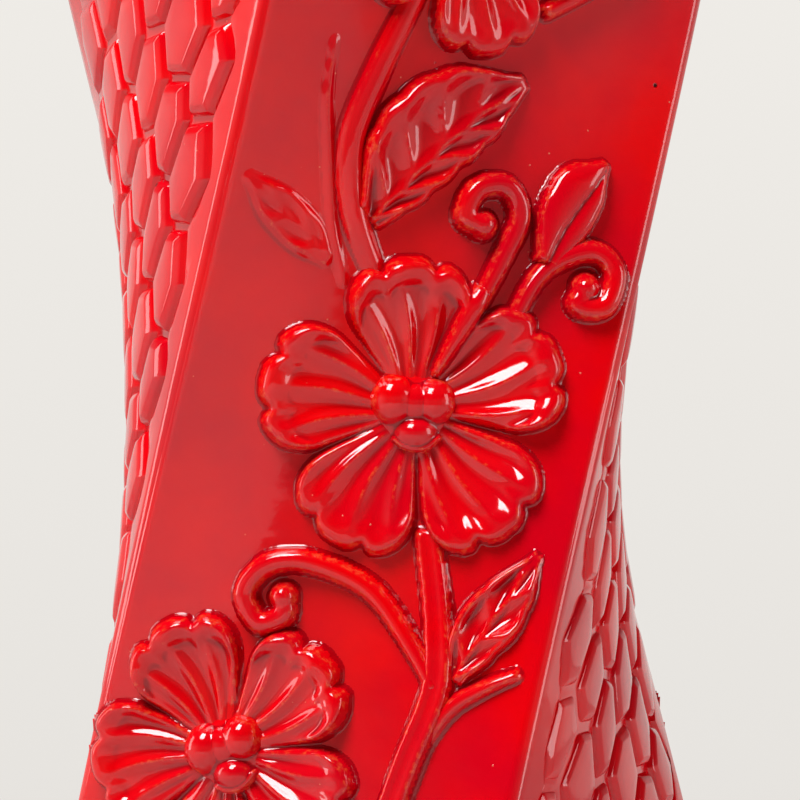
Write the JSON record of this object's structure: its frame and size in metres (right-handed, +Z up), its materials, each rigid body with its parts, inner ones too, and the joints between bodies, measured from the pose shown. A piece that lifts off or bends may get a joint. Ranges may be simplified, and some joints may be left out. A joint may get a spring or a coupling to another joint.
{
  "type": "twisted square vase",
  "caption": "Tall square glazed vase, twisted and drawn in at the waist, with two smooth walls of flowers in relief and two walls of raised plates.",
  "frame": {"origin": "middle of the foot, on the surface that the vase stands on", "axes": "+Z up the vase's axis; the foot's sides lie along X and Y, and the front flowered wall faces -Y at the foot and turns anticlockwise, seen from above, as it rises"},
  "size_m": [0.1384, 0.1384, 0.336],
  "materials": {
    "red_glaze": "gloss red glaze, a little thinner and warmer on raised edges",
    "bare_foot": "matt bare fired clay"
  },
  "bodies": {
    "root": {"back_big_leaf": "red_glaze", "back_faint_leaf": "red_glaze", "back_foot_flower_boss": "red_glaze", "back_foot_flower_petals": "red_glaze", "back_foot_left_leaf": "red_glaze", "back_foot_low_leaf": "red_glaze", "back_foot_tendril": "red_glaze", "back_high_flower_boss": "red_glaze", "back_high_flower_petals": "red_glaze", "back_high_tendril": "red_glaze", "back_lobed_leaf": "red_glaze", "back_low_flower_boss": "red_glaze", "back_low_flower_petals": "red_glaze", "back_low_stem": "red_glaze", "back_low_tendril": "red_glaze", "back_main_stem": "red_glaze", "back_mouth_bud": "red_glaze", "back_mouth_left_leaf": "red_glaze", "back_mouth_right_leaf": "red_glaze", "back_right_tendril": "red_glaze", "back_side_stem": "red_glaze", "back_thin_stem": "red_glaze", "back_waist_bud": "red_glaze", "back_waist_flower_boss": "red_glaze", "back_waist_flower_petals": "red_glaze", "back_waist_tendril": "red_glaze", "back_wall": "red_glaze", "floor_slab": "red_glaze", "foot_ring": "bare_foot", "front_big_leaf": "red_glaze", "front_faint_leaf": "red_glaze", "front_foot_flower_boss": "red_glaze", "front_foot_flower_petals": "red_glaze", "front_foot_left_leaf": "red_glaze", "front_foot_low_leaf": "red_glaze", "front_foot_tendril": "red_glaze", "front_high_flower_boss": "red_glaze", "front_high_flower_petals": "red_glaze", "front_high_tendril": "red_glaze", "front_lobed_leaf": "red_glaze", "front_low_flower_boss": "red_glaze", "front_low_flower_petals": "red_glaze", "front_low_stem": "red_glaze", "front_low_tendril": "red_glaze", "front_main_stem": "red_glaze", "front_mouth_bud": "red_glaze", "front_mouth_left_leaf": "red_glaze", "front_mouth_right_leaf": "red_glaze", "front_right_tendril": "red_glaze", "front_side_stem": "red_glaze", "front_thin_stem": "red_glaze", "front_waist_bud": "red_glaze", "front_waist_flower_boss": "red_glaze", "front_waist_flower_petals": "red_glaze", "front_waist_tendril": "red_glaze", "front_wall": "red_glaze", "left_wall": "red_glaze", "right_wall": "red_glaze", "rim_band": "red_glaze"}
  },
  "joints": []
}
